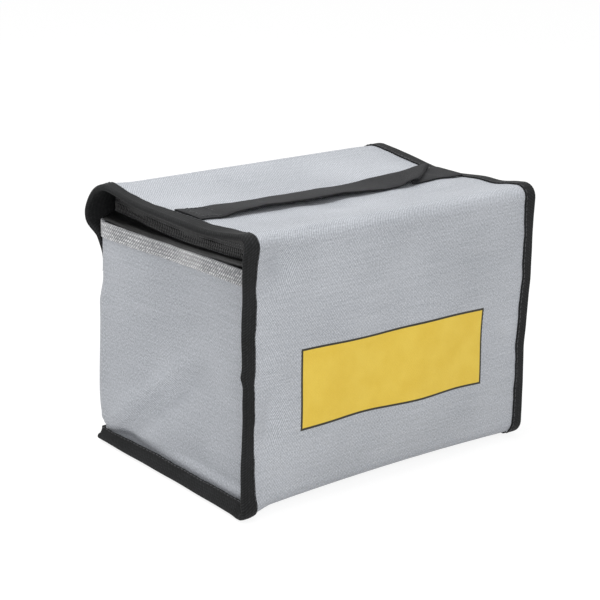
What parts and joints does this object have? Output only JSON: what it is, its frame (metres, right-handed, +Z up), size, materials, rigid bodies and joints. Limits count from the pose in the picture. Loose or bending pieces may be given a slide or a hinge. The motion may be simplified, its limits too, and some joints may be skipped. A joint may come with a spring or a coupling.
{
  "type": "lipo safe bag",
  "caption": "Soft fire-resistant box bag for batteries, with a hinged zip lid, bound edges, a back flap and a webbing handle.",
  "frame": {"origin": "on the ground, under the middle of the bag's bottom", "axes": "+X along the length towards the right end, -Y towards the front, +Z up"},
  "size_m": [0.216, 0.1598, 0.1619],
  "materials": {
    "silver_cloth": "coated glass cloth, coarse weave, silver grey, soft sheen",
    "lining_cloth": "uncoated glass cloth, matt grey",
    "binding_tape": "black ribbed binding tape, matt",
    "zip_tape": "black woven zip tape, smooth",
    "zip_coil": "black nylon coil",
    "slider_metal": "black enamelled zinc",
    "hook_and_loop": "black hook and loop tape, matt",
    "webbing": "black polypropylene webbing"
  },
  "bodies": {
    "bag": {"bottom_panel": "silver_cloth", "front_panel": "silver_cloth", "end_wall_left": "silver_cloth", "back_wall": "silver_cloth", "end_wall_right": "silver_cloth", "lining_bottom": "lining_cloth", "lining_front": "lining_cloth", "lining_left": "lining_cloth", "lining_back": "lining_cloth", "lining_right": "lining_cloth", "binding_bottom_left": "binding_tape", "binding_bottom_right": "binding_tape", "binding_front_left": "binding_tape", "binding_front_right": "binding_tape", "binding_back_bottom": "binding_tape", "zip_tape_lower": "zip_tape", "zip_coil_lower": "zip_coil", "loop_strip": "hook_and_loop"},
    "lid": {"lid_panel": "silver_cloth", "lining_lid": "lining_cloth", "binding_lid_left": "binding_tape", "binding_lid_right": "binding_tape", "zip_tape_upper": "zip_tape", "zip_coil_upper": "zip_coil", "handle_end_left": "webbing", "handle_end_right": "webbing"},
    "flap": {"flap_panel": "silver_cloth", "binding_flap_left": "binding_tape", "binding_flap_right": "binding_tape", "binding_flap_end": "binding_tape", "hook_strip": "hook_and_loop"},
    "handle": {"handle_strap": "webbing"},
    "left_slider": {"slider_left": "slider_metal"},
    "right_slider": {"slider_right": "slider_metal"},
    "left_pull": {"pull_left": "slider_metal"},
    "right_pull": {"pull_right": "slider_metal"}
  },
  "joints": [
    {"name": "lid_hinge", "type": "hinge", "parent": "bag", "child": "lid", "pos_m": [0, -0.07213, 0.15813], "axis": [1, 0, 0], "range_deg": [0, 210]},
    {"name": "flap_hinge", "type": "hinge", "parent": "lid", "child": "flap", "pos_m": [0, 0.07951, 0.15374], "axis": [1, 0, 0], "range_deg": [0, 170]},
    {"name": "handle_lift", "type": "slide", "parent": "lid", "child": "handle", "axis": [0, 0, 1], "range_m": [0, 0.025]},
    {"name": "slider_left_slide", "type": "slide", "parent": "bag", "child": "left_slider", "axis": [-1, 0, 0], "range_m": [0, 0.07]},
    {"name": "slider_right_slide", "type": "slide", "parent": "bag", "child": "right_slider", "axis": [1, 0, 0], "range_m": [0, 0.07]},
    {"name": "pull_left_swing", "type": "hinge", "parent": "left_slider", "child": "left_pull", "pos_m": [-0.008, 0.0774, 0.146], "axis": [0, 1, 0], "range_deg": [-12, 85]},
    {"name": "pull_right_swing", "type": "hinge", "parent": "right_slider", "child": "right_pull", "pos_m": [0.008, 0.0774, 0.146], "axis": [0, 1, 0], "range_deg": [-85, 12]}
  ]
}
